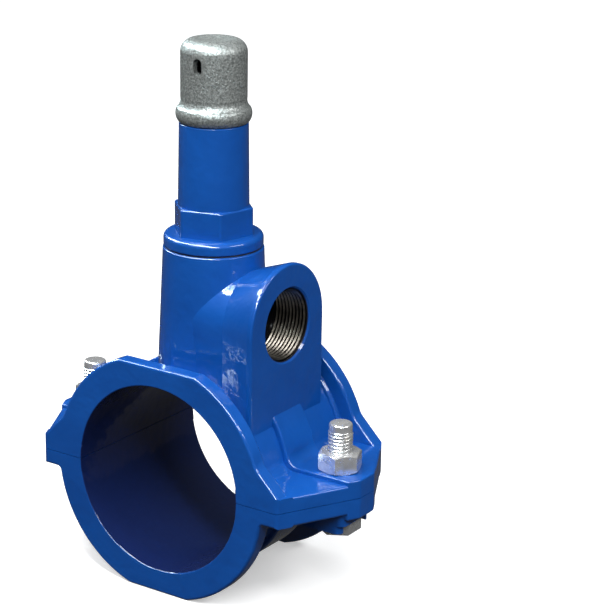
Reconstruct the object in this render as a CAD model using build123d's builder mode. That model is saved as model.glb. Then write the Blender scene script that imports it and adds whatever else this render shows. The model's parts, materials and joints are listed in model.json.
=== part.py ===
from build123d import *
import os
from math import cos, radians, sin, sqrt, tan

os.makedirs("parts", exist_ok=True)

# Tapping saddle for a 110 mm plastic main, with a built-in valve and a G 1 1/4 side outlet.
# Origin: centre of the pipe bore. +Y along the pipe, +X out of the outlet, +Z up the tower.
# All sizes in millimetres. The valve is drawn fully open, with the cutter withdrawn.

# ---- pipe clamp -----------------------------------------------------------------------------
pipe_r = 55.0              # outside radius of the 110 mm pipe
saddle_length = 107.0      # along the pipe
parting_gap = 0.4          # between the two halves
barrel_wall = 5.6          # thin wall between the end flanges
flange_depth = 16.8        # end flange, from the bore outwards
flange_t = 9.5             # end flange, along the pipe
top_flat_z = 66.7          # flat on top of both end flanges
bottom_flat_z = -68.8      # flats on which the saddle stands
band_depth = 8.8           # raised band in line with the bolts, from the bore outwards
band_width = 28.0
foot_r = 2.5               # hollow where the flanges rise from the barrel
casting_edge_r = 1.6       # rounding along the outer edges of both halves
band_edge_r = 1.2
mouth_edge_r = 0.8         # rounding round the ends of the pipe's seat

# ---- bolting lugs ---------------------------------------------------------------------------
lug_end_wall = 27.2        # lugs beyond the pipe at the end faces
lug_tip_wall = 18.5        # lugs beyond the bolt's axis
lug_tip_width = 14.0
lug_tip_r = 5.0
lug_end_r = 3.5
ear_blend_r = 10.0         # hollow between the sloping ear and the end flange
upper_lug_t = 8.5
nut_pad_h = 11.0           # height of the nut seat above the parting plane
gusset_z = 23.5            # where the sloping ear meets the end flange
lower_lug_t = 9.0
lower_tip_t = 12.5         # lower lug, outside the bolt
head_seat_depth = 16.5     # bolt head seat, below the parting plane
shroud_depth = 21.5        # bottom of the walls that keep the bolt head from turning
shroud_wall = 4.2
seat_end_wall = 13.0       # bolt head seat beyond the bolt's axis
shroud_end_wall = 10.5
web_r = 8.0                # hollow between barrel and lug
head_clearance = 0.4

# ---- bolts and nuts: M14 x 55 ---------------------------------------------------------------
bolt_offset = 33.0         # bolt's axis beyond the pipe
bolt_r = 7.0
bolt_length = 55.0
bolt_end_chamfer = 1.6
across_flats = 22.0
head_t = 8.8
nut_t = 11.0
bolt_hole_r = 7.75
left_nut_turn = 20.0       # degrees, one corner from +X
right_nut_turn = -10.0
thread_clearance = 0.06

# ---- tower and outlet -----------------------------------------------------------------------
tower_top_z = 125.6
tower_top_r = 28.7
tower_taper = 2.4          # degrees
tower_foot_z = 50.0
tower_edge_r = 1.0
outlet_x = 51.6            # outlet face, from the tower axis
outlet_z = 87.8
outlet_r = 20.955          # crest of the G 1 1/4 thread's groove
outlet_thread_l = 24.0
outlet_chamfer = 1.2
collar_w = 35.3            # half width of the outlet collar
collar_l = 3.0
collar_edge_r = 1.4
neck_w = 29.5              # half width of the neck behind the collar
neck_drop = 7.1            # the neck's crown lies this much below the collar's
neck_flare_l = 20.6
port_r = 16.0
chamber_r = 20.0
seat_z = 67.0
tapping_r = 15.5
bonnet_thread_r = 22.5
bonnet_thread_l = 20.0

# ---- gasket round the branch ----------------------------------------------------------------
gasket_inner_r = 19.5
gasket_outer_r = 28.0
gasket_t = 3.6
gasket_clearance = 0.1

# ---- bonnet with its guide tube -------------------------------------------------------------
bonnet_gasket_t = 0.9
bonnet_gasket_r = 27.4
bonnet_flange_r = 28.3
bonnet_flange_t = 4.1
bonnet_dome_h = 3.0
hexagon_af = 41.0
hexagon_top_z = 149.6
hexagon_edge_r = 2.0       # rounding down the hexagon's corners
hexagon_top_r = 1.2
hexagon_turn = 16.0        # degrees, one corner from +X
tube_foot_r = 20.1
tube_top_r = 19.45
spigot_r = 17.9
spigot_h = 7.2             # reduced end of the tube, inside the cap
skirt_wall = 3.8
skirt_gap = 0.4            # skirt's lower end above the shoulder in the tower
web_t = 10.4
nut_af = 24.2
spindle_nut_t = 14.5
pocket_clearance = 0.1
tube_bore_r = 14.1
bearing_r = 15.4           # bore for the thrust bearing at the top
bearing_depth = 13.5
ring_t = 1.4               # retaining rings
ring_groove_depth = 1.0
ring_width = 2.6

# ---- screw spindle, plug and cutter ---------------------------------------------------------
thread_pitch = 3.0
turns = 13
stroke = thread_pitch * turns
seat_clearance = 0.3       # left under the plug with the valve shut
park_gap = 0.8             # left over the plug with the valve open
spindle_end_h = 2.0        # spindle above its nut with the valve shut
spindle_end_gap = 2.5      # under the thrust bearing with the valve open
spindle_r = 9.0
spindle_clearance = 0.06
o_ring_section = 2.4
o_ring_pitch = 4.4
plug_r = 17.6
plug_t = 12.0
plug_washer_r = 14.0
plug_washer_t = 2.5
plug_neck_r = 7.0
cutter_r = 14.5
cutter_wall = 2.5
cutter_head_t = 5.0
cutter_l = 25.0            # from the plug's underside to the teeth
cutter_teeth = 8
cutter_tooth_h = 3.0
stud_r = 5.0
stud_nut_af = 16.0
stud_nut_t = 5.0
fit_gap = 0.05             # between pieces fixed to one another

# ---- turning drive and its cap --------------------------------------------------------------
bar_af = 9.0
bar_clearance = 0.1
bar_engagement = 13.0      # bar inside the spindle with the valve shut
thrust_washer_t = 1.5
collar_t = 3.5
collar_side_gap = 0.2
bush_t = 5.0
journal_r = 8.5
head_af = 12.0
cap_bottom_gap = 0.6       # over the tube's shoulder
cap_h = 46.1
cap_socket_gap = 2.5       # over the tube's end
cap_r = 18.6
cap_bead_r = 21.3
cap_bead_h = 9.2
cap_skirt_gap = 0.4
cap_shoulder_r = 7.5
cap_wall = 4.4
cap_roof = 4.0
cap_roof_gap = 1.4         # over the shaft's square head
cap_web_drop = 17.9        # from the cap's top to its web
dish_r = 10.8
dish_depth = 1.6
slot_w = 5.3
slot_h = 9.3
slot_drop = 13.3           # from the cap's top to the slots' middle
slot_turn = 7.0            # degrees, the slots' axis from the pipe axis
pin_r = 2.5
pin_end = 4.0              # pin outside each side of the square head

# ---- worked-out sizes -----------------------------------------------------------------------
half_length = saddle_length / 2
barrel_l = saddle_length - flange_t    # barrel up to the middle of both end flanges
foot_y = half_length - flange_t
bolt_x = pipe_r + bolt_offset
lug_end_x = pipe_r + lug_end_wall
lug_tip_x = bolt_x + lug_tip_wall
seat_end_x = bolt_x + seat_end_wall
shroud_end_x = bolt_x + shroud_end_wall
barrel_r = pipe_r + barrel_wall
lug_root_x = lug_end_x - lug_end_r
flange_r = pipe_r + flange_depth
band_r = pipe_r + band_depth
tower_foot_r = tower_top_r + (tower_top_z - tower_foot_z) * tan(radians(tower_taper))
collar_back_x = outlet_x - collar_l
neck_crown_z = outlet_z + collar_w - neck_drop
neck_front_x = collar_back_x - neck_flare_l
outlet_bottom_x = outlet_x - outlet_thread_l
bonnet_seat_z = tower_top_z + bonnet_gasket_t
bonnet_thread_z = tower_top_z - bonnet_thread_l
skirt_bottom_z = bonnet_thread_z + skirt_gap
skirt_r = bonnet_thread_r - gasket_clearance
dome_top_z = bonnet_seat_z + bonnet_flange_t + bonnet_dome_h
plug_park_z = seat_z + seat_clearance + stroke            # underside of the plug, valve open
plug_top_z = plug_park_z + plug_t
shoulder_z = plug_top_z + plug_washer_t                   # spindle's shoulder
pocket_top_z = shoulder_z + park_gap
spindle_bore_r = spindle_r + spindle_clearance
web_top_z = pocket_top_z + web_t
nut_top_z = web_top_z + spindle_nut_t
nut_ring_z = nut_top_z + fit_gap
lower_o_ring_z = pocket_top_z + web_t / 2 - o_ring_pitch / 2
upper_o_ring_z = lower_o_ring_z + o_ring_pitch
o_ring_seat_r = spindle_r + o_ring_section + 2 * fit_gap
spindle_top_z = nut_top_z + stroke + spindle_end_h
bar_bottom_z = spindle_top_z - stroke - bar_engagement
socket_bottom_z = bar_bottom_z - 1.5
bearing_z = spindle_top_z + spindle_end_gap
tube_end_z = bearing_z + bearing_depth
tube_shoulder_z = tube_end_z - spigot_h
collar_z = bearing_z + thrust_washer_t + collar_side_gap
bush_z = collar_z + collar_t + collar_side_gap
bush_ring_z = bush_z + bush_t + fit_gap
cutter_tip_z = plug_park_z - cutter_l
cap_inner_r = cap_r - cap_wall
cap_skirt_r = spigot_r + cap_skirt_gap
cap_web_z = tube_end_z + cap_socket_gap
cap_bottom_z = tube_shoulder_z + cap_bottom_gap
cap_top_z = cap_bottom_z + cap_h
cap_web_top_z = cap_top_z - cap_web_drop
slot_z = cap_top_z - slot_drop
pin_z = cap_web_top_z + pin_r + fit_gap
cap_roof_z = cap_top_z - cap_roof - dish_depth
head_top_z = cap_roof_z - cap_roof_gap
head_corner_r = across_flats / sqrt(3)
pocket_w = across_flats + 2 * head_clearance
seat_inner_x = bolt_x - head_corner_r - head_clearance - shroud_wall


def clamp_section(outer_r, lug_x, lug_t, hollow_r, flat_z, ear_z=0.0):
    """Cross-section of one half of the clamp, across the pipe, drawn as the upper half."""
    low_z = parting_gap / 2
    with BuildSketch(Plane.XZ) as section:
        Circle(outer_r)
        Rectangle(2 * lug_x, 2 * lug_t)
        if ear_z > lug_t:
            root_x = sqrt(outer_r**2 - ear_z**2)
            with BuildLine():
                Polyline(
                    (root_x, ear_z),
                    (root_x + ear_z - lug_t, lug_t),
                    (-root_x - ear_z + lug_t, lug_t),
                    (-root_x, ear_z),
                    close=True,
                )
            make_face()
            roots = section.vertices().filter_by(lambda v: abs(v.Y - ear_z) < 0.01)
            feet = section.vertices().filter_by(lambda v: abs(abs(v.X) - root_x - ear_z + lug_t) < 0.01)
            fillet(roots, ear_blend_r)
            fillet(feet.filter_by(lambda v: v.Y > 0), hollow_r)
        else:
            roots = section.vertices().filter_by(lambda v: abs(abs(v.Y) - lug_t) < 0.01 and abs(v.X) < outer_r)
            fillet(roots, hollow_r)
        Circle(pipe_r, mode=Mode.SUBTRACT)
        with Locations((0, (low_z + flat_z) / 2)):
            Rectangle(4 * lug_tip_x, flat_z - low_z, mode=Mode.INTERSECT)
    return section.sketch


def lug_plan(top_z, width=saddle_length):
    """Block from the parting plane upwards, with the outline of the clamp seen along the tower."""
    with BuildPart() as plan:
        with BuildSketch(Plane.XY.offset(parting_gap / 2)):
            with BuildLine():
                Polyline(
                    (lug_end_x, -half_length),
                    (lug_tip_x, -lug_tip_width / 2),
                    (lug_tip_x, lug_tip_width / 2),
                    (lug_end_x, half_length),
                    (-lug_end_x, half_length),
                    (-lug_tip_x, lug_tip_width / 2),
                    (-lug_tip_x, -lug_tip_width / 2),
                    (-lug_end_x, -half_length),
                    close=True,
                )
            outline = make_face()
            outline = fillet(outline.vertices().filter_by(lambda v: abs(v.X) > lug_end_x + 1), lug_tip_r)
            fillet(outline.vertices().filter_by(lambda v: abs(v.Y) > half_length - 0.1), lug_end_r)
            Rectangle(3 * lug_tip_x, width, mode=Mode.INTERSECT)
        extrude(amount=top_z - parting_gap / 2)
    return plan.part


def boss_arch(x, half_width, crown_z):
    """Round-topped outline of the outlet boss at one distance from the tower axis."""
    with BuildSketch(Plane.YZ.offset(x)) as arch:
        with Locations((0, crown_z - half_width)):
            Circle(half_width)
        with Locations((0, (crown_z - half_width) / 2)):
            Rectangle(2 * half_width, crown_z - half_width)
    return arch.sketch


def hexagon_prism(across, z, height, turn=0.0):
    """Hexagonal block on the tower axis."""
    with BuildPart() as prism:
        with BuildSketch(Plane.XY.offset(z)):
            RegularPolygon(across / 2, 6, major_radius=False, rotation=turn)
        extrude(amount=height)
    return prism.part


def turned(points, rounded=()):
    """Solid turned about the tower axis from a closed outline of (radius, height) points.

    rounded lists (radius, height, fillet) for the corners that are rounded.
    """
    with BuildPart() as piece:
        with BuildSketch(Plane.XZ):
            with BuildLine():
                Polyline(*points, close=True)
            outline = make_face()
            for r, z, fillet_r in rounded:
                corner = outline.vertices().sort_by_distance((r, z))[0]
                outline = fillet(corner, fillet_r)
        revolve(axis=Axis.Z)
    return piece.part


def ring(inner_r, outer_r, z, height):
    """Plain ring on the tower axis."""
    with BuildPart() as piece:
        with BuildSketch(Plane.XY.offset(z)):
            Circle(outer_r)
            Circle(inner_r, mode=Mode.SUBTRACT)
        extrude(amount=height)
    return piece.part


def round_bar(radius, z, height):
    """Plain cylinder on the tower axis, standing on the height z."""
    with BuildPart() as piece:
        with BuildSketch(Plane.XY.offset(z)):
            Circle(radius)
        extrude(amount=height)
    return piece.part


# ---- castings -------------------------------------------------------------------------------
# The outlet boss flares from a neck beside the tower to a collar with a rounded rim.
with BuildPart() as outlet_collar:
    extrude(boss_arch(collar_back_x, collar_w, outlet_z + collar_w), amount=collar_l)
    rim = outlet_collar.faces().sort_by(Axis.X)[-1].edges().sort_by(Axis.Z)[1:]
    fillet(rim, collar_edge_r)
with BuildPart() as outlet_boss:
    extrude(boss_arch(0, neck_w, neck_crown_z), amount=neck_front_x)
    loft([boss_arch(neck_front_x, neck_w, neck_crown_z).face(),
          boss_arch(collar_back_x, collar_w, outlet_z + collar_w).face()])
    add(outlet_collar.part)

# Room for the branch gasket: a ring whose bottom follows the pipe.
with BuildPart() as gasket_groove:
    with BuildSketch(Plane.XZ):
        Circle(pipe_r + gasket_t + gasket_clearance)
    extrude(amount=gasket_outer_r + 1, both=True)
    add(ring(gasket_inner_r - gasket_clearance, gasket_outer_r + gasket_clearance, pipe_r / 2, pipe_r),
        mode=Mode.INTERSECT)


def edge_rims(piece, low_z):
    """Edges round both end faces of a piece of the clamp, leaving its parting face and its bore sharp."""
    rims = piece.edges().filter_by(lambda e: e.length > 0.1 and abs(e.bounding_box().size.Y) < 0.01)
    rims = rims.filter_by(lambda e: e.bounding_box().max.Z > low_z + 0.1)
    return rims.filter_by(lambda e: not (e.geom_type == GeomType.CIRCLE and abs(e.radius - pipe_r) < 0.01))


def lug_plate(lug_t, width, edge_r):
    """Flat of the bolting lugs, rounded along its upper edge."""
    with BuildPart() as plate:
        add(lug_plan(lug_t, width))
        fillet(plate.faces().sort_by(Axis.Z)[-1].edges(), edge_r)
    return plate.part


def end_flange(lug_t, hollow_r, flat_z, ear_z=0.0):
    """End flange of one half of the clamp, its rim and the mouth of its bore rounded."""
    with BuildPart() as flange:
        section = clamp_section(flange_r, 2 * lug_tip_x, lug_t, hollow_r, flat_z, ear_z)
        extrude(section, amount=flange_t / 2, both=True)
        fillet(edge_rims(flange, parting_gap / 2), casting_edge_r)
        mouths = flange.edges().filter_by(GeomType.CIRCLE).filter_by(lambda e: abs(e.radius - pipe_r) < 0.01)
        fillet(mouths, mouth_edge_r)
    return flange.part


def raised_band(lug_t, hollow_r, flat_z):
    """Band in line with the bolts, its edges rounded."""
    with BuildPart() as band:
        extrude(clamp_section(band_r, lug_root_x, lug_t, hollow_r, flat_z), amount=band_width / 2, both=True)
        fillet(edge_rims(band, parting_gap / 2), band_edge_r)
    return band.part


# Hollow ring along the foot of both end flanges.
with BuildPart() as flange_feet:
    with BuildSketch(Plane.YZ):
        with BuildLine():
            rise = RadiusArc((foot_y - foot_r, barrel_r), (foot_y, barrel_r + foot_r), foot_r)
            Polyline(rise @ 1, (foot_y + foot_r, barrel_r + foot_r), (foot_y + foot_r, barrel_r - foot_r),
                     (foot_y - foot_r, barrel_r - foot_r), rise @ 0)
        make_face()
    revolve(axis=Axis.Y)
    mirror(about=Plane.XZ)

# Upper half: clamp, tower and outlet boss in one casting.
with BuildPart() as upper_saddle:
    barrel = clamp_section(barrel_r, lug_root_x, upper_lug_t, web_r, top_flat_z)
    extrude(barrel, amount=barrel_l / 2, both=True)
    add(raised_band(nut_pad_h, web_r, top_flat_z))
    with Locations((0, flange_t / 2 - half_length, 0), (0, half_length - flange_t / 2, 0)):
        add(end_flange(upper_lug_t, foot_r, top_flat_z, gusset_z))
    add(flange_feet.part)
    add(lug_plan(top_flat_z), mode=Mode.INTERSECT)
    add(lug_plate(upper_lug_t, saddle_length, casting_edge_r))
    add(lug_plate(nut_pad_h, band_width, band_edge_r))
    add(turned(
        [(0, tower_foot_z), (tower_foot_r, tower_foot_z), (tower_top_r, tower_top_z), (0, tower_top_z)],
        [(tower_top_r, tower_top_z, tower_edge_r)]))
    add(outlet_boss.part)
    # the pipe's seat, cleared of the tower and boss
    with BuildSketch(Plane.XZ):
        Circle(pipe_r)
    extrude(amount=saddle_length, both=True, mode=Mode.SUBTRACT)
    # bonnet thread, valve chamber, seat and tapping bore down the tower
    add(round_bar(bonnet_thread_r, bonnet_thread_z, bonnet_thread_l + 1), mode=Mode.SUBTRACT)
    add(round_bar(chamber_r, seat_z, bonnet_thread_z - seat_z + 1), mode=Mode.SUBTRACT)
    add(round_bar(tapping_r, pipe_r / 2, seat_z - pipe_r / 2 + 1), mode=Mode.SUBTRACT)
    # threaded outlet and its port into the chamber
    with BuildSketch(Plane.YZ.offset(outlet_bottom_x)):
        with Locations((0, outlet_z)):
            Circle(outlet_r)
    extrude(amount=outlet_thread_l + 1, mode=Mode.SUBTRACT)
    with BuildSketch(Plane.YZ):
        with Locations((0, outlet_z)):
            Circle(port_r)
    extrude(amount=outlet_bottom_x + 1, mode=Mode.SUBTRACT)
    mouth = upper_saddle.edges().filter_by(GeomType.CIRCLE).filter_by(
        lambda e: abs(e.radius - outlet_r) < 0.01 and abs(e.center().X - outlet_x) < 0.01)
    chamfer(mouth, outlet_chamfer)
    add(gasket_groove.part, mode=Mode.SUBTRACT)
    # bolt holes
    with Locations((-bolt_x, 0, 0), (bolt_x, 0, 0)):
        Cylinder(bolt_hole_r, 3 * nut_pad_h, mode=Mode.SUBTRACT)
upper_saddle.part.label = "upper_saddle"

# Lower half: strap with a seat and three walls round each bolt head, flat underneath.
with BuildPart() as lower_saddle:
    barrel = clamp_section(barrel_r, lug_root_x, lower_lug_t, foot_r, -bottom_flat_z)
    extrude(barrel, amount=barrel_l / 2, both=True)
    add(raised_band(lower_tip_t, foot_r, -bottom_flat_z))
    with Locations((0, flange_t / 2 - half_length, 0), (0, half_length - flange_t / 2, 0)):
        add(end_flange(lower_lug_t, foot_r, -bottom_flat_z))
    add(flange_feet.part)
    add(lug_plan(-bottom_flat_z), mode=Mode.INTERSECT)
    add(lug_plate(lower_lug_t, saddle_length, casting_edge_r))
    add(lug_plate(lower_tip_t, band_width, band_edge_r))
    for side in (-1, 1):
        with BuildSketch(Plane.XY.offset(lower_lug_t / 2)):
            with Locations((side * (seat_inner_x + seat_end_x) / 2, 0)):
                RectangleRounded(seat_end_x - seat_inner_x, pocket_w + 2 * shroud_wall, 4)
        extrude(amount=head_seat_depth - lower_lug_t / 2)
        with BuildSketch(Plane.XY.offset(head_seat_depth - 1)):
            with Locations((side * (seat_inner_x + shroud_end_x) / 2, 0)):
                RectangleRounded(shroud_end_x - seat_inner_x, pocket_w + 2 * shroud_wall, 4)
        extrude(amount=shroud_depth - head_seat_depth + 1)
        with BuildSketch(Plane.XY.offset(head_seat_depth)):
            with Locations((side * (seat_inner_x + shroud_wall + 2 * bolt_x) / 2, 0)):
                Rectangle(2 * bolt_x - seat_inner_x - shroud_wall, pocket_w)
        extrude(amount=shroud_depth, mode=Mode.SUBTRACT)
    with BuildSketch(Plane.XZ):
        Circle(pipe_r)
    extrude(amount=saddle_length, both=True, mode=Mode.SUBTRACT)
    with Locations((-bolt_x, 0, head_seat_depth / 2), (bolt_x, 0, head_seat_depth / 2)):
        Cylinder(bolt_hole_r, 2 * head_seat_depth, mode=Mode.SUBTRACT)
    mirror(about=Plane.XY, mode=Mode.REPLACE)
lower_saddle.part.label = "lower_saddle"

# Rubber ring round the branch, curved to the pipe.
with BuildPart() as branch_gasket:
    with BuildSketch(Plane.XZ):
        Circle(pipe_r + gasket_t)
        Circle(pipe_r + fit_gap, mode=Mode.SUBTRACT)
    extrude(amount=gasket_outer_r, both=True)
    add(ring(gasket_inner_r, gasket_outer_r, pipe_r / 2, pipe_r), mode=Mode.INTERSECT)
branch_gasket.part.label = "branch_gasket"

# ---- bonnet ---------------------------------------------------------------------------------
# Hexagon with rounded corners and a rounded rim.
hexagon_foot_z = dome_top_z - bonnet_dome_h / 2
with BuildPart() as bonnet_hexagon:
    add(hexagon_prism(hexagon_af, hexagon_foot_z, hexagon_top_z - hexagon_foot_z, hexagon_turn))
    fillet(bonnet_hexagon.edges().filter_by(Axis.Z), hexagon_edge_r)
    fillet(bonnet_hexagon.faces().sort_by(Axis.Z)[-1].edges(), hexagon_top_r)

with BuildPart() as bonnet:
    # outside: screwed skirt, domed flange, hexagon, guide tube and spigot
    add(turned(
        [(0, skirt_bottom_z), (skirt_r, skirt_bottom_z), (skirt_r, bonnet_seat_z),
         (bonnet_flange_r, bonnet_seat_z), (bonnet_flange_r, dome_top_z), (tube_foot_r, dome_top_z),
         (tube_foot_r, hexagon_top_z), (tube_top_r, tube_shoulder_z), (spigot_r, tube_shoulder_z),
         (spigot_r, tube_end_z), (0, tube_end_z)],
        [(bonnet_flange_r, bonnet_seat_z, 0.8), (bonnet_flange_r, dome_top_z, bonnet_dome_h),
         (tube_top_r, tube_shoulder_z, 0.5)]))
    add(bonnet_hexagon.part)
    # inside: plug pocket, sealed web, nut seat and tube bore
    add(round_bar(bonnet_thread_r - skirt_wall, skirt_bottom_z - 1, pocket_top_z - skirt_bottom_z + 1),
        mode=Mode.SUBTRACT)
    add(round_bar(spindle_bore_r, pocket_top_z - 1, web_t + 2), mode=Mode.SUBTRACT)
    add(hexagon_prism(nut_af + 2 * pocket_clearance, web_top_z, spindle_nut_t + 1), mode=Mode.SUBTRACT)
    add(round_bar(tube_bore_r, nut_top_z, bearing_z - nut_top_z + 1), mode=Mode.SUBTRACT)
    add(round_bar(bearing_r, bearing_z, bearing_depth + 1), mode=Mode.SUBTRACT)
    # grooves for the two O-rings and the two retaining rings
    for groove_z in (lower_o_ring_z, upper_o_ring_z):
        groove_w = o_ring_section + 2 * fit_gap
        add(ring(spindle_r, o_ring_seat_r, groove_z - groove_w / 2, groove_w), mode=Mode.SUBTRACT)
    add(ring(spindle_r, tube_bore_r + ring_groove_depth, nut_ring_z, ring_t + fit_gap), mode=Mode.SUBTRACT)
    add(ring(spindle_r, bearing_r + ring_groove_depth, bush_ring_z, ring_t + fit_gap), mode=Mode.SUBTRACT)
bonnet.part.label = "bonnet"

# Flat seal between the tower and the bonnet's flange.
with BuildPart() as bonnet_gasket:
    add(ring(bonnet_thread_r + gasket_clearance, bonnet_gasket_r, tower_top_z, bonnet_gasket_t))
bonnet_gasket.part.label = "bonnet_gasket"


def o_ring(z):
    """O-ring round the screw spindle."""
    with BuildPart() as piece:
        with BuildSketch(Plane.XZ):
            with Locations((spindle_r + fit_gap + o_ring_section / 2, z)):
                Circle(o_ring_section / 2)
        revolve(axis=Axis.Z)
    return piece.part


with BuildPart() as lower_o_ring:
    add(o_ring(lower_o_ring_z))
lower_o_ring.part.label = "lower_o_ring"

with BuildPart() as upper_o_ring:
    add(o_ring(upper_o_ring_z))
upper_o_ring.part.label = "upper_o_ring"

# Brass nut that the spindle screws through, held from turning by its hexagon.
with BuildPart() as spindle_nut:
    add(hexagon_prism(nut_af, web_top_z, spindle_nut_t - fit_gap))
    add(round_bar(spindle_bore_r, web_top_z - 1, spindle_nut_t + 2), mode=Mode.SUBTRACT)
spindle_nut.part.label = "spindle_nut"


def retaining_ring(bore, z):
    """Sprung ring with a gap, seated in a groove of a bore."""
    with BuildPart() as piece:
        outer_r = bore + ring_groove_depth - fit_gap
        add(ring(outer_r - ring_width, outer_r, z, ring_t))
        with BuildSketch(Plane.XY.offset(z)):
            with Locations((0, bore)):
                Rectangle(2 * ring_width, 2 * ring_width + ring_groove_depth)
        extrude(amount=ring_t, mode=Mode.SUBTRACT)
    return piece.part


with BuildPart() as nut_retaining_ring:
    add(retaining_ring(tube_bore_r, nut_ring_z))
nut_retaining_ring.part.label = "nut_retaining_ring"

with BuildPart() as bush_retaining_ring:
    add(retaining_ring(bearing_r, bush_ring_z))
bush_retaining_ring.part.label = "bush_retaining_ring"

# Thrust washer and bush that carry the turning drive at the top of the tube.
with BuildPart() as thrust_washer:
    add(ring(spindle_bore_r, bearing_r - fit_gap, bearing_z, thrust_washer_t))
thrust_washer.part.label = "thrust_washer"

with BuildPart() as top_bush:
    add(ring(journal_r + spindle_clearance, bearing_r - fit_gap, bush_z, bush_t))
top_bush.part.label = "top_bush"

# ---- turning drive --------------------------------------------------------------------------
# Shaft: square bar below, collar and journal, square head with a cross hole.
slot_axis = Vector(sin(radians(slot_turn)), -cos(radians(slot_turn)), 0)
slot_side = Vector(cos(radians(slot_turn)), sin(radians(slot_turn)), 0)
with BuildPart() as drive_shaft:
    with BuildSketch(Plane.XY.offset(bar_bottom_z)):
        RectangleRounded(bar_af, bar_af, 0.6, rotation=slot_turn)
    extrude(amount=collar_z - bar_bottom_z)
    add(round_bar(bearing_r - collar_side_gap, collar_z, collar_t))
    with BuildSketch(Plane.XY.offset(collar_z)):
        Circle(journal_r)
    extrude(amount=cap_web_z - collar_z)
    with BuildSketch(Plane.XY.offset(cap_web_z)):
        RectangleRounded(head_af, head_af, 0.8, rotation=slot_turn)
    extrude(amount=head_top_z - cap_web_z)
    with BuildSketch(Plane(origin=(0, 0, pin_z), x_dir=slot_side, z_dir=slot_axis)):
        Circle(pin_r + fit_gap)
    extrude(amount=head_af, both=True, mode=Mode.SUBTRACT)
drive_shaft.part.label = "drive_shaft"

# Cap: spun over the tube's end, with a bead, a dished top and two pin slots.
with BuildPart() as drive_cap:
    with BuildSketch(Plane.XZ):
        with BuildLine():
            lip = Line((0, cap_bottom_z), (cap_skirt_r + 1.2, cap_bottom_z))
            bead_top = (cap_bead_r - 0.7, cap_bottom_z + 0.85 * cap_bead_h)
            bead = ThreePointArc(lip @ 1, (cap_bead_r, cap_bottom_z + 0.45 * cap_bead_h), bead_top)
            waist = ThreePointArc(bead @ 1, (cap_r + 0.35, cap_bottom_z + 1.1 * cap_bead_h),
                                  (cap_r, cap_bottom_z + 1.5 * cap_bead_h))
            side = Line(waist @ 1, (cap_r, cap_top_z - cap_shoulder_r))
            shoulder_end = (cap_r - cap_shoulder_r, cap_top_z)
            shoulder = RadiusArc(side @ 1, shoulder_end, -cap_shoulder_r)
            Polyline(shoulder @ 1, (0, cap_top_z), lip @ 0)
        make_face()
    revolve(axis=Axis.Z)
    add(round_bar(cap_skirt_r, cap_bottom_z - 1, cap_web_z - cap_bottom_z + 1), mode=Mode.SUBTRACT)
    dish_sphere_r = (dish_r**2 + dish_depth**2) / (2 * dish_depth)
    with Locations((0, 0, cap_top_z - dish_depth + dish_sphere_r)):
        Sphere(dish_sphere_r, mode=Mode.SUBTRACT)
    add(round_bar(cap_inner_r, cap_web_top_z, cap_roof_z - cap_web_top_z), mode=Mode.SUBTRACT)
    with BuildSketch(Plane.XY.offset(cap_web_z - 1)):
        RectangleRounded(head_af + 2 * fit_gap, head_af + 2 * fit_gap, 0.8, rotation=slot_turn)
    extrude(amount=cap_web_top_z - cap_web_z + 2, mode=Mode.SUBTRACT)
    with BuildSketch(Plane(origin=(0, 0, slot_z), x_dir=slot_side, z_dir=slot_axis)):
        SlotOverall(slot_h, slot_w, rotation=90)
    extrude(amount=2 * cap_r, both=True, mode=Mode.SUBTRACT)
drive_cap.part.label = "drive_cap"

# Cross pin that keeps the cap on the shaft, lying on the cap's web.
with BuildPart() as cap_pin:
    with BuildSketch(Plane(origin=(0, 0, pin_z), x_dir=slot_side, z_dir=slot_axis)):
        Circle(pin_r)
    extrude(amount=head_af / 2 + pin_end, both=True)
cap_pin.part.label = "cap_pin"

# ---- screw spindle with its plug and cutter -------------------------------------------------
with BuildPart() as cutter_spindle:
    stud_end_z = plug_park_z - cutter_head_t - stud_nut_t - 1.5
    add(turned(
        [(0, stud_end_z), (stud_r, stud_end_z), (stud_r, plug_park_z), (plug_neck_r, plug_park_z),
         (plug_neck_r, shoulder_z), (spindle_r, shoulder_z), (spindle_r, spindle_top_z), (0, spindle_top_z)]))
    chamfer(cutter_spindle.faces().sort_by(Axis.Z)[-1].edges(), 1.0)
    with BuildSketch(Plane.XY.offset(socket_bottom_z)):
        RectangleRounded(bar_af + 2 * bar_clearance, bar_af + 2 * bar_clearance, 0.6, rotation=slot_turn)
    extrude(amount=spindle_top_z - socket_bottom_z + 1, mode=Mode.SUBTRACT)
cutter_spindle.part.label = "cutter_spindle"

with BuildPart() as plug_washer:
    add(ring(plug_neck_r + fit_gap, plug_washer_r, plug_top_z, plug_washer_t))
plug_washer.part.label = "plug_washer"

# Rubber plug that shuts the branch, with a bevelled lower edge.
with BuildPart() as closing_plug:
    add(turned([(plug_neck_r + fit_gap, plug_park_z), (plug_r, plug_park_z), (plug_r, plug_top_z),
                (plug_neck_r + fit_gap, plug_top_z)], [(plug_r, plug_park_z, 1.2), (plug_r, plug_top_z, 2.0)]))
closing_plug.part.label = "closing_plug"

# One of the sloping gaps between the cutter's teeth.
gap_half_w = 0.8 * cutter_r * sin(radians(180 / cutter_teeth))
with BuildPart() as tooth_gap:
    with BuildSketch(Plane.YZ):
        with BuildLine():
            Polyline((-gap_half_w, cutter_tip_z - 1), (gap_half_w, cutter_tip_z - 1),
                     (gap_half_w, cutter_tip_z), (-gap_half_w, cutter_tip_z + cutter_tooth_h), close=True)
        make_face()
    extrude(amount=cutter_r + 1)

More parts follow.
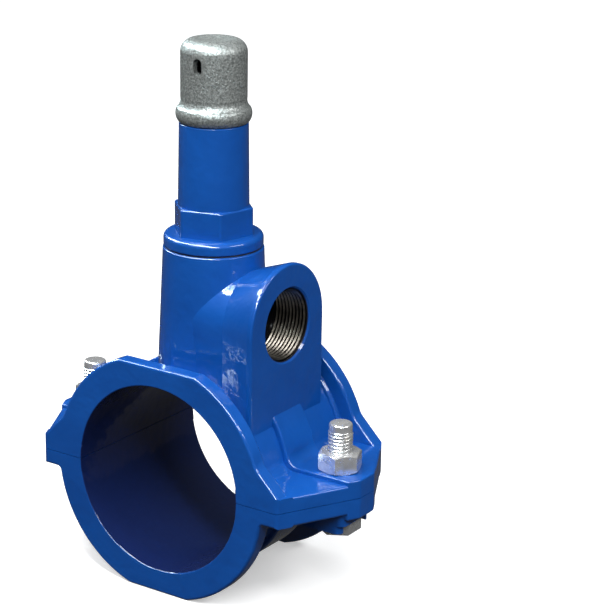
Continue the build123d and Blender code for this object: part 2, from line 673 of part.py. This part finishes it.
# Core cutter: a toothed cup screwed on under the plug.
with BuildPart() as core_cutter:
    add(round_bar(cutter_r, cutter_tip_z, cutter_l))
    add(round_bar(cutter_r - cutter_wall, cutter_tip_z - 1, cutter_l - cutter_head_t + 1), mode=Mode.SUBTRACT)
    add(round_bar(stud_r + fit_gap, cutter_tip_z, cutter_l + 1), mode=Mode.SUBTRACT)
    with PolarLocations(0, cutter_teeth):
        add(tooth_gap.part, mode=Mode.SUBTRACT)
core_cutter.part.label = "core_cutter"


def bevelled_hexagon(across, z, height, turn, low_bevel=True, high_bevel=True):
    """Bolt head or nut blank on the tower axis, with its corners turned off."""
    corner_r = across / sqrt(3)
    bevel_h = 0.58 * (corner_r - across / 2) + 0.2
    low = bevel_h if low_bevel else 0
    high = bevel_h if high_bevel else 0
    bevel_r = across / 2 - 0.3
    with BuildPart() as blank:
        add(hexagon_prism(across, z, height, turn))
        points = [(0, z)]
        points += [(bevel_r, z), (corner_r, z + low)] if low_bevel else [(corner_r, z)]
        points += [(corner_r, z + height - high)]
        points += [(bevel_r, z + height)] if high_bevel else []
        points += [(0, z + height)]
        add(turned(points), mode=Mode.INTERSECT)
    return blank.part


with BuildPart() as cutter_nut:
    nut_z = plug_park_z - cutter_head_t - stud_nut_t
    add(bevelled_hexagon(stud_nut_af, nut_z, stud_nut_t, 0, high_bevel=False))
    add(round_bar(stud_r + fit_gap, nut_z - 1, stud_nut_t + 2), mode=Mode.SUBTRACT)
cutter_nut.part.label = "cutter_nut"


# ---- clamp bolts and nuts -------------------------------------------------------------------
def clamp_bolt():
    """Hexagon bolt, head down, on the tower axis."""
    with BuildPart() as bolt:
        add(bevelled_hexagon(across_flats, -head_seat_depth - head_t, head_t, 0, high_bevel=False))
        with BuildSketch(Plane.XY.offset(-head_seat_depth)):
            Circle(bolt_r)
        extrude(amount=bolt_length)
        chamfer(bolt.faces().sort_by(Axis.Z)[-1].edges(), bolt_end_chamfer)
    return bolt.part


def clamp_nut(turn):
    """Hexagon nut on its seat, on the tower axis."""
    with BuildPart() as nut:
        add(bevelled_hexagon(across_flats, nut_pad_h, nut_t, turn))
        add(round_bar(bolt_r + thread_clearance, nut_pad_h - 1, nut_t + 2), mode=Mode.SUBTRACT)
    return nut.part


with BuildPart() as bolt_left:
    with Locations((-bolt_x, 0, 0)):
        add(clamp_bolt())
bolt_left.part.label = "bolt_left"

with BuildPart() as bolt_right:
    with Locations((bolt_x, 0, 0)):
        add(clamp_bolt())
bolt_right.part.label = "bolt_right"

with BuildPart() as nut_left:
    with Locations((-bolt_x, 0, 0)):
        add(clamp_nut(left_nut_turn))
nut_left.part.label = "nut_left"

with BuildPart() as nut_right:
    with Locations((bolt_x, 0, 0)):
        add(clamp_nut(right_nut_turn))
nut_right.part.label = "nut_right"

pieces = [
    upper_saddle, lower_saddle, branch_gasket, bonnet, bonnet_gasket, lower_o_ring, upper_o_ring, spindle_nut,
    nut_retaining_ring, thrust_washer, top_bush, bush_retaining_ring, drive_shaft, drive_cap, cap_pin,
    cutter_spindle, plug_washer, closing_plug, core_cutter, cutter_nut, bolt_left, bolt_right, nut_left, nut_right,
]
for piece in pieces:
    export_step(piece.part, f"parts/{piece.part.label}.step")
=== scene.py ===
import bpy
import bmesh
import json
from math import cos, pi, radians, sin, sqrt
from mathutils import Matrix, Quaternion, Vector


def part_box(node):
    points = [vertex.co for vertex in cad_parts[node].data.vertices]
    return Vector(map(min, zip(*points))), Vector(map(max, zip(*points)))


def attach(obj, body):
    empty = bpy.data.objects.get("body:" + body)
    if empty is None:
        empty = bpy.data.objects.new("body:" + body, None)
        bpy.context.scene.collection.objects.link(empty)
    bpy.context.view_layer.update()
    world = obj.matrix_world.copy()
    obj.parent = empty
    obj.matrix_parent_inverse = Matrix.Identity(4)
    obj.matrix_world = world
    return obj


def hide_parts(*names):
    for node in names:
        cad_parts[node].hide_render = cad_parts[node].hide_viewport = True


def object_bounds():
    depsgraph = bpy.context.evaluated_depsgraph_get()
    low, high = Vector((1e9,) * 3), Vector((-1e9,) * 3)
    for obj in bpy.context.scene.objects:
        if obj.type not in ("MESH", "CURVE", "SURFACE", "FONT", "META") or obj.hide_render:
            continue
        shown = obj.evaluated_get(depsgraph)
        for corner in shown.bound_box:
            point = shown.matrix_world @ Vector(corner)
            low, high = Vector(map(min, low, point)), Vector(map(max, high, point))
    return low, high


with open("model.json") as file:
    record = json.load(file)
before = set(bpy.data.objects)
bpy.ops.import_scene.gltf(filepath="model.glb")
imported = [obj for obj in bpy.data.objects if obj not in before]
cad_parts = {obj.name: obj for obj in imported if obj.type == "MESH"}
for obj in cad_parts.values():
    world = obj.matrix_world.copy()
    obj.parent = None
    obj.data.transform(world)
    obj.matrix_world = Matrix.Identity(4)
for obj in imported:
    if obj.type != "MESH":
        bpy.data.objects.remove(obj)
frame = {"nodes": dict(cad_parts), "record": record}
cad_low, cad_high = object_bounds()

MM = 0.001
record = frame["record"]
mounts = {mount["name"]: mount for mount in record["mounts"]}

# camera, metres and degrees: what it looks at, how far off it stands, and from where
CAMERA_AIM = Vector((0.0466, 0.0271, 0.0900))
CAMERA_DISTANCE = 1.18315
CAMERA_AZIMUTH, CAMERA_ELEVATION, CAMERA_ROLL = 33.79, 17.96, 0.98
CAMERA_LENS_MM = 121.9

FLOOR_SIZE = 9.0
FLOOR_GAP = 0.0001
ROOM_MIRRORED = 0.03        # how bright the dark room is where the paint mirrors it
STRIP_MIRRORED = 50.0       # and the long strip in it

# G 1 1/4 pipe thread of the outlet
OUTLET_PITCH = 2.309 * MM
OUTLET_THREAD_DEPTH = 0.6403 * OUTLET_PITCH
# M14 clamp bolts
BOLT_CREST_R = 7.0 * MM
BOLT_ROOT_R = 5.85 * MM
BOLT_POINT_R = 6.6 * MM
BOLT_PITCH = 2.0 * MM
BOLT_HEAD_H = 8.8 * MM
BOLT_HEAD_CHAMFER = 1.35 * MM
BOLT_END_ROUND = 1.3 * MM
BOLT_POINT_L = 4.6 * MM
BOLT_THREAD_Z = 8.0 * MM
OVERLAP = 0.2 * MM          # by which the bolt's rods run into each other
TOWER_THREAD_R = 22.5 * MM


# ---- shader nodes ---------------------------------------------------------------------------
def vector_math(tree, operation, vector, other=None):
    node = tree.nodes.new("ShaderNodeVectorMath")
    node.operation = operation
    tree.links.new(vector, node.inputs[0])
    if other is not None:
        node.inputs[1].default_value = other
    return node


def map_range(tree, value, from_low, from_high, low, high, interpolation="LINEAR"):
    node = tree.nodes.new("ShaderNodeMapRange")
    node.interpolation_type = interpolation
    node.inputs["From Min"].default_value = from_low
    node.inputs["From Max"].default_value = from_high
    node.inputs["To Min"].default_value = low
    node.inputs["To Max"].default_value = high
    tree.links.new(value, node.inputs["Value"])
    return node.outputs["Result"]


def choose(tree, ray, test, otherwise, then):
    """One shader for the rays that a test picks out, another for the rest."""
    node = tree.nodes.new("ShaderNodeMixShader")
    tree.links.new(ray.outputs[test], node.inputs["Fac"])
    tree.links.new(otherwise, node.inputs[1])
    tree.links.new(then, node.inputs[2])
    return node.outputs["Shader"]


# ---- camera, floor and light ----------------------------------------------------------------
def place_camera():
    data = bpy.data.cameras.new("studio_camera")
    data.sensor_width = 36.0
    data.lens = CAMERA_LENS_MM
    data.clip_start = 0.05
    data.clip_end = 40.0
    camera = bpy.data.objects.new("studio_camera", data)
    bpy.context.scene.collection.objects.link(camera)
    azimuth, elevation, roll = radians(CAMERA_AZIMUTH), radians(CAMERA_ELEVATION), radians(CAMERA_ROLL)
    back = Vector((sin(azimuth) * cos(elevation), -cos(azimuth) * cos(elevation), sin(elevation)))
    camera.location = CAMERA_AIM + back * CAMERA_DISTANCE
    camera.rotation_mode = "QUATERNION"
    camera.rotation_quaternion = (-back).to_track_quat("-Z", "Y") @ Quaternion((0, 0, 1), roll)
    bpy.context.scene.camera = camera


def soft_box(name, spot, size, power, along=(1, 0, 0)):
    """Rectangular studio light at a spot, facing the object, its long side laid along a direction."""
    data = bpy.data.lights.new(name, "AREA")
    data.shape = "RECTANGLE"
    data.size, data.size_y = size
    data.energy = power
    light = bpy.data.objects.new(name, data)
    bpy.context.scene.collection.objects.link(light)
    back = (Vector(spot) - Vector((0.0, 0.0, 0.08))).normalized()
    side = (Vector(along) - back * back.dot(Vector(along))).normalized()
    turn = Matrix((side, back.cross(side), back)).transposed().to_4x4()
    light.matrix_world = Matrix.Translation(spot) @ turn


def lay_floor():
    bm = bmesh.new()
    bmesh.ops.create_grid(bm, x_segments=1, y_segments=1, size=FLOOR_SIZE)
    bmesh.ops.translate(bm, verts=bm.verts, vec=(0, 0, cad_low.z - FLOOR_GAP))
    mesh = bpy.data.meshes.new("studio_floor")
    bm.to_mesh(mesh)
    bm.free()
    floor = bpy.data.objects.new("studio_floor", mesh)
    bpy.context.scene.collection.objects.link(floor)
    # seen white, while the light it throws back on the casting stays low
    material = bpy.data.materials.new("pale_floor")
    material.use_nodes = True
    tree = material.node_tree
    nodes = tree.nodes
    sheet = nodes["Principled BSDF"]
    sheet.inputs["Base Color"].default_value = (0.80, 0.80, 0.80, 1)
    sheet.inputs["Roughness"].default_value = 0.9
    sheet.inputs["Specular IOR Level"].default_value = 0.1
    sheet.inputs["Emission Color"].default_value = (1, 1, 1, 1)
    sheet.inputs["Emission Strength"].default_value = 0.45
    thrown = nodes.new("ShaderNodeBsdfDiffuse")
    thrown.inputs["Color"].default_value = (0.05, 0.05, 0.05, 1)
    mirrored = nodes.new("ShaderNodeEmission")
    mirrored.inputs["Strength"].default_value = 0.07
    ray = nodes.new("ShaderNodeLightPath")
    unseen = choose(tree, ray, "Is Glossy Ray", thrown.outputs["BSDF"], mirrored.outputs["Emission"])
    surface = choose(tree, ray, "Is Camera Ray", unseen, sheet.outputs["BSDF"])
    tree.links.new(surface, nodes["Material Output"].inputs["Surface"])
    mesh.materials.append(material)


def light_studio():
    """White cove with an even fill, dark between the boxes that the paint mirrors."""
    world = bpy.data.worlds.new("studio")
    bpy.context.scene.world = world
    world.use_nodes = True
    tree = world.node_tree
    nodes, links = tree.nodes, tree.links
    nodes.clear()
    output = nodes.new("ShaderNodeOutputWorld")
    ray = nodes.new("ShaderNodeLightPath")
    direction = nodes.new("ShaderNodeTexCoord").outputs["Generated"]

    def background(colour):
        node = nodes.new("ShaderNodeBackground")
        node.inputs["Color"].default_value = (*colour, 1)
        return node

    def measured(axis, low, high, near):
        """Strength along an axis of the room, falling from near to nothing between two distances."""
        size = nodes.new("ShaderNodeMath")
        size.operation = "ABSOLUTE"
        links.new(vector_math(tree, "DOT_PRODUCT", direction, axis).outputs["Value"], size.inputs[0])
        return map_range(tree, size.outputs["Value"], low, high, near, 0.0, "SMOOTHSTEP")

    # the fill comes from overhead and fades towards the horizon
    fill = background((0.96, 0.98, 1.0))
    parts = nodes.new("ShaderNodeSeparateXYZ")
    links.new(direction, parts.inputs["Vector"])
    fade = map_range(tree, parts.outputs["Z"], 0.25, 0.85, 0.0, 1.0, "SMOOTHSTEP")
    links.new(fade, fill.inputs["Strength"])
    # what the paint mirrors: a dark room with one long bright strip from overhead to the right
    mirrored = background((0.78, 0.96, 1.0))
    strip = nodes.new("ShaderNodeMath")
    strip.operation = "MULTIPLY_ADD"
    strip.inputs[2].default_value = ROOM_MIRRORED
    links.new(measured((0.352, 0.762, 0.543), 0.05, 0.085, 1.0), strip.inputs[0])
    links.new(measured((0.855, -0.510, 0.095), 0.78, 0.92, STRIP_MIRRORED), strip.inputs[1])
    links.new(strip.outputs["Value"], mirrored.inputs["Strength"])
    seen = background((1.0, 1.0, 1.0))
    unseen = choose(tree, ray, "Is Glossy Ray", fill.outputs["Background"], mirrored.outputs["Background"])
    links.new(choose(tree, ray, "Is Camera Ray", unseen, seen.outputs["Background"]), output.inputs["Surface"])
    soft_box("long_strip", (0.39, -0.72, 1.09), (1.30, 0.10), 17.0, along=(0.95, -0.20, -0.43))
    soft_box("top_box", (-0.30, -0.30, 1.25), (0.30, 0.30), 6.0)
    soft_box("front_box", (-0.25, -1.20, 1.15), (0.60, 0.30), 5.0)
    soft_box("right_box", (1.15, 0.10, 0.95), (0.20, 0.80), 9.0)
    soft_box("left_box", (-1.30, -0.35, 0.90), (0.14, 0.80), 3.0)
    bpy.context.scene.view_settings.view_transform = "Standard"


# ---- finishes -------------------------------------------------------------------------------
class Finish:
    """Procedural material built round one Principled shader."""

    def __init__(self, name, base, metallic=0.0, roughness=0.5, coat=0.0, coat_roughness=0.03):
        self.material = bpy.data.materials.new(name)
        self.material.use_nodes = True
        self.tree = self.material.node_tree
        self.shader = self.tree.nodes["Principled BSDF"]
        self.shader.inputs["Base Color"].default_value = (*base, 1)
        self.shader.inputs["Metallic"].default_value = metallic
        self.shader.inputs["Roughness"].default_value = roughness
        self.shader.inputs["Coat Weight"].default_value = coat
        self.shader.inputs["Coat Roughness"].default_value = coat_roughness
        self.place = self.tree.nodes.new("ShaderNodeTexCoord").outputs["Object"]
        self.last_bump = None

    def noise(self, scale, detail=2.0, roughness=0.5):
        node = self.tree.nodes.new("ShaderNodeTexNoise")
        node.inputs["Scale"].default_value = scale
        node.inputs["Detail"].default_value = detail
        node.inputs["Roughness"].default_value = roughness
        self.tree.links.new(self.place, node.inputs["Vector"])
        return node.outputs["Fac"]

    def cells(self, scale):
        """Distance to the nearest of many scattered points."""
        node = self.tree.nodes.new("ShaderNodeTexVoronoi")
        node.feature = "F1"
        node.inputs["Scale"].default_value = scale
        self.tree.links.new(self.place, node.inputs["Vector"])
        return node.outputs["Distance"]

    def ramp(self, factor, stops):
        node = self.tree.nodes.new("ShaderNodeValToRGB")
        while len(node.color_ramp.elements) < len(stops):
            node.color_ramp.elements.new(0.5)
        for element, (position, colour) in zip(node.color_ramp.elements, stops):
            element.position = position
            element.color = (*colour, 1)
        self.tree.links.new(factor, node.inputs["Fac"])
        return node.outputs["Color"]

    def span(self, factor, low, high, from_low=0.0, from_high=1.0):
        return map_range(self.tree, factor, from_low, from_high, low, high)

    def arm(self, point):
        """Vector from a point to the place that is shaded."""
        return vector_math(self.tree, "SUBTRACT", self.place, point).outputs["Vector"]

    def from_axis(self, axis, point):
        """Distance from the line through a point along an axis."""
        cross = vector_math(self.tree, "CROSS_PRODUCT", self.arm(point), axis)
        return vector_math(self.tree, "LENGTH", cross.outputs["Vector"]).outputs["Value"]

    def along_axis(self, axis, point):
        """Distance along an axis from a point."""
        return vector_math(self.tree, "DOT_PRODUCT", self.arm(point), axis).outputs["Value"]

    def both(self, share, other):
        """Product of two shares."""
        node = self.tree.nodes.new("ShaderNodeMath")
        node.operation = "MULTIPLY"
        self.tree.links.new(share, node.inputs[0])
        self.tree.links.new(other, node.inputs[1])
        return node.outputs["Value"]

    def blend(self, share, colour, other):
        """Mixes a plain colour into a patterned one."""
        node = self.tree.nodes.new("ShaderNodeMix")
        node.data_type = "RGBA"
        self.tree.links.new(share, node.inputs["Factor"])
        self.tree.links.new(colour, node.inputs["A"])
        node.inputs["B"].default_value = (*other, 1)
        return node.outputs["Result"]

    def multiply(self, one, other):
        node = self.tree.nodes.new("ShaderNodeMix")
        node.data_type = "RGBA"
        node.blend_type = "MULTIPLY"
        node.inputs["Factor"].default_value = 1.0
        self.tree.links.new(one, node.inputs["A"])
        self.tree.links.new(other, node.inputs["B"])
        return node.outputs["Result"]

    def feed(self, socket, output):
        self.tree.links.new(output, self.shader.inputs[socket])

    def bump(self, height, distance):
        """Adds a relief to those laid before, under the coat as well as on it."""
        node = self.tree.nodes.new("ShaderNodeBump")
        node.inputs["Distance"].default_value = distance
        self.tree.links.new(height, node.inputs["Height"])
        if self.last_bump is not None:
            self.tree.links.new(self.last_bump, node.inputs["Normal"])
        self.last_bump = node.outputs["Normal"]
        self.tree.links.new(self.last_bump, self.shader.inputs["Normal"])
        self.tree.links.new(self.last_bump, self.shader.inputs["Coat Normal"])


def blue_epoxy(name, *hollows):
    """Fused epoxy powder on a rough casting: glossy outside, with a darker colour painted inside its hollows.

    Each hollow is a round way into the casting: its axis, the point it starts from, its radius and its darker
    colour, which is painted shade in the deep ways of the outlet and the tower.
    """
    finish = Finish(name, (0.002, 0.070, 0.33), roughness=0.5, coat=1.0, coat_roughness=0.07)
    finish.shader.inputs["Specular IOR Level"].default_value = 0.15
    tone = finish.noise(28.0, detail=3.0)
    colour = finish.ramp(tone, [(0.30, (0.0012, 0.058, 0.285)), (0.70, (0.0026, 0.074, 0.345))])
    # darker colour laid inside each hollow: painted shade in the outlet and the tower, a darker navy in the
    # pipe seat
    for axis, start, radius, dark in hollows:
        distance = finish.from_axis(axis, start)
        inside = finish.span(distance, 1.0, 0.0, radius + 0.05 * MM, radius + 0.5 * MM)
        begun = finish.span(finish.along_axis(axis, start), 0.0, 1.0, 0.0, 0.5 * MM)
        colour = finish.blend(finish.both(inside, begun), colour, dark)
    finish.feed("Base Color", colour)
    finish.bump(finish.noise(85.0, detail=1.0), 0.00028)
    finish.bump(finish.noise(190.0, detail=1.5), 0.00027)
    return finish.material


def zinc_plate():
    """Bright electroplated zinc, faintly clouded and warm in places."""
    finish = Finish("zinc_plate", (0.80, 0.80, 0.79), metallic=0.74, roughness=0.20)
    cloud = finish.noise(170.0, detail=4.0)
    tones = [(0.32, (0.66, 0.67, 0.67)), (0.55, (0.84, 0.85, 0.86)), (0.75, (0.88, 0.85, 0.78))]
    finish.feed("Base Color", finish.ramp(cloud, tones))
    finish.feed("Roughness", finish.span(finish.noise(300.0, detail=3.0), 0.16, 0.30, 0.3, 0.7))
    finish.bump(finish.noise(900.0, detail=2.0), 0.00002)
    return finish.material


def galvanised():
    """Hot-dip zinc on a cast cap: even grey with a fine speckle over a slightly rough skin."""
    finish = Finish("galvanised", (0.30, 0.32, 0.31), metallic=0.55, roughness=0.42)
    tones = [(0.36, (0.17, 0.187, 0.180)), (0.50, (0.28, 0.30, 0.293)), (0.64, (0.42, 0.445, 0.435))]
    mottle = finish.ramp(finish.noise(820.0, detail=3.0, roughness=0.7), tones)
    spangle = finish.ramp(finish.cells(900.0), [(0.0, (0.78, 0.79, 0.78)), (0.6, (1.0, 1.0, 1.0))])
    finish.feed("Base Color", finish.multiply(mottle, spangle))
    finish.feed("Roughness", finish.span(finish.noise(420.0, detail=4.0), 0.36, 0.50, 0.3, 0.7))
    finish.bump(finish.noise(700.0, detail=3.0), 0.00035)
    return finish.material


def machined_iron():
    """Bare cut iron of the outlet's thread, with painted shade darkening its roots."""
    finish = Finish("machined_iron", (0.20, 0.18, 0.155), metallic=1.0, roughness=0.34)
    bright = finish.ramp(finish.noise(260.0, detail=3.0),
                         [(0.35, (0.16, 0.145, 0.125)), (0.65, (0.30, 0.275, 0.235))])
    mount = mounts["outlet_thread"]
    root_r = mount["dims"]["r_mm"] * MM
    distance = finish.from_axis((1, 0, 0), mount["pos_m"])
    # painted shade: near black towards the roots of the thread
    depth = finish.span(distance, 0.0, 1.0, root_r - 0.95 * MM, root_r - 0.55 * MM)
    finish.feed("Base Color", finish.blend(depth, bright, (0.008, 0.007, 0.006)))
    finish.bump(finish.noise(1400.0, detail=2.0), 0.00003)
    return finish.material


def black_rubber():
    """Moulded rubber with a fine matt grain."""
    finish = Finish("black_rubber", (0.018, 0.018, 0.019), roughness=0.62)
    finish.feed("Roughness", finish.span(finish.noise(400.0, detail=3.0), 0.50, 0.75, 0.3, 0.7))
    finish.bump(finish.noise(1200.0, detail=2.0), 0.00005)
    return finish.material


def turned_metal(name, dark, light, roughness):
    """Turned bar stock with faint tool marks round its axis."""
    finish = Finish(name, light, metallic=1.0, roughness=roughness)
    finish.feed("Base Color", finish.ramp(finish.noise(260.0, detail=3.0), [(0.35, dark), (0.65, light)]))
    wave = finish.tree.nodes.new("ShaderNodeTexWave")
    wave.bands_direction = "Z"
    wave.inputs["Scale"].default_value = 700.0
    wave.inputs["Distortion"].default_value = 0.6
    finish.tree.links.new(finish.place, wave.inputs["Vector"])
    finish.bump(wave.outputs["Fac"], 0.00003)
    return finish.material


# ---- pieces ---------------------------------------------------------------------------------
def finished(bm, name, material, body, smooth_below=38.0):
    """Turns a bmesh into a piece of the object, smooth where its faces meet at less than the angle."""
    bmesh.ops.remove_doubles(bm, verts=bm.verts, dist=1e-6)
    bmesh.ops.recalc_face_normals(bm, faces=bm.faces)
    for face in bm.faces:
        face.smooth = True
    for edge in bm.edges:
        edge.smooth = not edge.is_manifold or edge.calc_face_angle(0.0) < radians(smooth_below)
    mesh = bpy.data.meshes.new(name)
    bm.to_mesh(mesh)
    bm.free()
    mesh.materials.append(material)
    piece = bpy.data.objects.new(name, mesh)
    bpy.context.scene.collection.objects.link(piece)
    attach(piece, body)
    return piece


def outline(bm, points):
    """Closed loop of edges through (across, along) points, in the XZ plane."""
    verts = [bm.verts.new((x, 0, z)) for x, z in points]
    edges = [bm.edges.new((a, b)) for a, b in zip(verts, verts[1:] + verts[:1])]
    return verts + edges


def helix(bm, points, pitch, turns, steps_per_turn=48):
    """Thread wound about the Z axis from a closed (radius, height) outline, its two ends closed."""
    def edges(geometry):
        return [item for item in geometry if isinstance(item, bmesh.types.BMEdge)]

    loop = outline(bm, points)
    bmesh.ops.contextual_create(bm, geom=edges(loop))
    steps = round(turns * steps_per_turn)
    turned = bmesh.ops.spin(bm, geom=loop, axis=(0, 0, 1), cent=(0, 0, 0),
                            dvec=(0, 0, pitch / steps_per_turn), angle=2 * pi * turns, steps=steps)
    bmesh.ops.contextual_create(bm, geom=edges(turned["geom_last"]))


def outlet_thread(material):
    """Ridges of the G 1 1/4 thread, standing inwards from the wall of the outlet."""
    mount = mounts["outlet_thread"]
    groove_r = mount["dims"]["r_mm"] * MM
    length = mount["dims"]["length_mm"] * MM
    pitch = OUTLET_PITCH
    crest_r = groove_r - OUTLET_THREAD_DEPTH
    back_r = groove_r + 0.15 * MM
    ridge = [(back_r, 0.0), (back_r, pitch), (groove_r - 0.08 * MM, pitch),
             (groove_r - 0.30 * MM, 0.90 * pitch), (crest_r + 0.12 * MM, 0.60 * pitch),
             (crest_r, 0.54 * pitch), (crest_r, 0.46 * pitch), (crest_r + 0.12 * MM, 0.40 * pitch),
             (groove_r - 0.30 * MM, 0.10 * pitch), (groove_r - 0.08 * MM, 0.0)]
    bm = bmesh.new()
    helix(bm, ridge, pitch, (length - pitch) / pitch, steps_per_turn=72)
    mouth = Vector(mount["pos_m"])
    turn = Matrix.Rotation(radians(-90), 4, "Y")
    bmesh.ops.transform(bm, matrix=Matrix.Translation(mouth) @ turn, verts=bm.verts)
    finished(bm, "outlet_thread_ridges", material, "saddle")


def round_rims(bm, rim, width, segments):
    bmesh.ops.bevel(bm, geom=rim, offset=width, offset_type="OFFSET", segments=segments, profile=0.5,
                    affect="EDGES", material=-1)


def clamp_bolt(name, node, material):
    """Hexagon bolt, head down, with its thread cut from just under the nut to the end."""
    low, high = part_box(node)
    axis = Vector(((low.x + high.x) / 2, (low.y + high.y) / 2, 0))
    bm = bmesh.new()
    # head: a hexagon whose lower corners are turned off
    corner_r = (high.y - low.y) / sqrt(3)
    head = bmesh.ops.create_cone(bm, cap_ends=True, segments=6, radius1=corner_r, radius2=corner_r,
                                 depth=BOLT_HEAD_H)
    bmesh.ops.translate(bm, verts=head["verts"], vec=(0, 0, low.z + BOLT_HEAD_H / 2))
    round_rims(bm, [e for e in bm.edges if all(v.co.z < low.z + 1e-5 for v in e.verts)], BOLT_HEAD_CHAMFER, 4)
    # plain shank up to the thread, core under the thread, plain point with a rounded end
    thread_end = high.z - BOLT_POINT_L
    for radius, base, top in ((BOLT_CREST_R, low.z + BOLT_HEAD_H - OVERLAP, BOLT_THREAD_Z),
                              (BOLT_ROOT_R, BOLT_THREAD_Z - OVERLAP, thread_end),
                              (BOLT_POINT_R, thread_end - 2 * OVERLAP, high.z)):
        rod = bmesh.ops.create_cone(bm, cap_ends=True, segments=64, radius1=radius, radius2=radius,
                                    depth=top - base)
        bmesh.ops.translate(bm, verts=rod["verts"], vec=(0, 0, (top + base) / 2))
    round_rims(bm, [e for e in bm.edges if all(v.co.z > high.z - 1e-5 for v in e.verts)], BOLT_END_ROUND, 5)
    crest_r, root_r, pitch = BOLT_CREST_R, BOLT_ROOT_R, BOLT_PITCH
    ridge = [(root_r - 0.15 * MM, 0.0), (root_r - 0.15 * MM, pitch), (root_r + 0.05 * MM, 0.96 * pitch),
             (crest_r - 0.04 * MM, 0.58 * pitch), (crest_r, 0.54 * pitch), (crest_r, 0.46 * pitch),
             (crest_r - 0.04 * MM, 0.42 * pitch), (root_r + 0.05 * MM, 0.04 * pitch)]
    thread = bmesh.new()
    helix(thread, ridge, pitch, (thread_end - BOLT_THREAD_Z) / pitch)
    bmesh.ops.translate(thread, verts=thread.verts, vec=(0, 0, BOLT_THREAD_Z - 0.5 * pitch))
    mesh = bpy.data.meshes.new("thread")
    thread.to_mesh(mesh)
    thread.free()
    bm.from_mesh(mesh)
    bpy.data.meshes.remove(mesh)
    bmesh.ops.translate(bm, verts=bm.verts, vec=axis)
    piece = finished(bm, name, material, "saddle", smooth_below=30.0)
    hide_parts(node)


def coat(node, material):
    """Gives a CAD node its finish."""
    slots = frame["nodes"][node].data.materials
    slots.clear()
    slots.append(material)


place_camera()
lay_floor()
light_studio()

bore = mounts["pipe_bore"]
outlet = mounts["outlet_thread"]
bore_start = (bore["pos_m"][0], cad_low[1] - 1 * MM, bore["pos_m"][2])
outlet_start = (0, outlet["pos_m"][1], outlet["pos_m"][2])
# colours inside the hollows: a darker navy in the pipe seat, and near black painted shade in the outlet's way
# and in the tower
pipe_seat = ((0, 1, 0), bore_start, bore["dims"]["r_mm"] * MM, (0.005, 0.014, 0.08))
outlet_way = ((1, 0, 0), outlet_start, outlet["dims"]["r_mm"] * MM, (0.006, 0.006, 0.008))
tower_way = ((0, 0, 1), (0, 0, 0), TOWER_THREAD_R, (0.004, 0.006, 0.02))
zinc = zinc_plate()
finish_of = {
    "blue_epoxy": blue_epoxy("blue_epoxy"),
    "rubber": black_rubber(),
    "brass": turned_metal("turned_brass", (0.50, 0.36, 0.14), (0.72, 0.55, 0.25), 0.30),
    "spring_steel": turned_metal("oiled_spring_steel", (0.16, 0.16, 0.17), (0.30, 0.30, 0.31), 0.35),
    "stainless": turned_metal("turned_stainless", (0.42, 0.42, 0.43), (0.62, 0.62, 0.63), 0.28),
    "galvanised": galvanised(),
    "zinc_plated": zinc,
}
for part in record["subparts"]:
    coat(part["node"], finish_of[part["material_slot"]])

coat("upper_saddle", blue_epoxy("upper_casting_epoxy", pipe_seat, tower_way, outlet_way))
coat("lower_saddle", blue_epoxy("lower_casting_epoxy", pipe_seat))
outlet_thread(machined_iron())
clamp_bolt("threaded_bolt_left", "bolt_left", zinc)
clamp_bolt("threaded_bolt_right", "bolt_right", zinc)
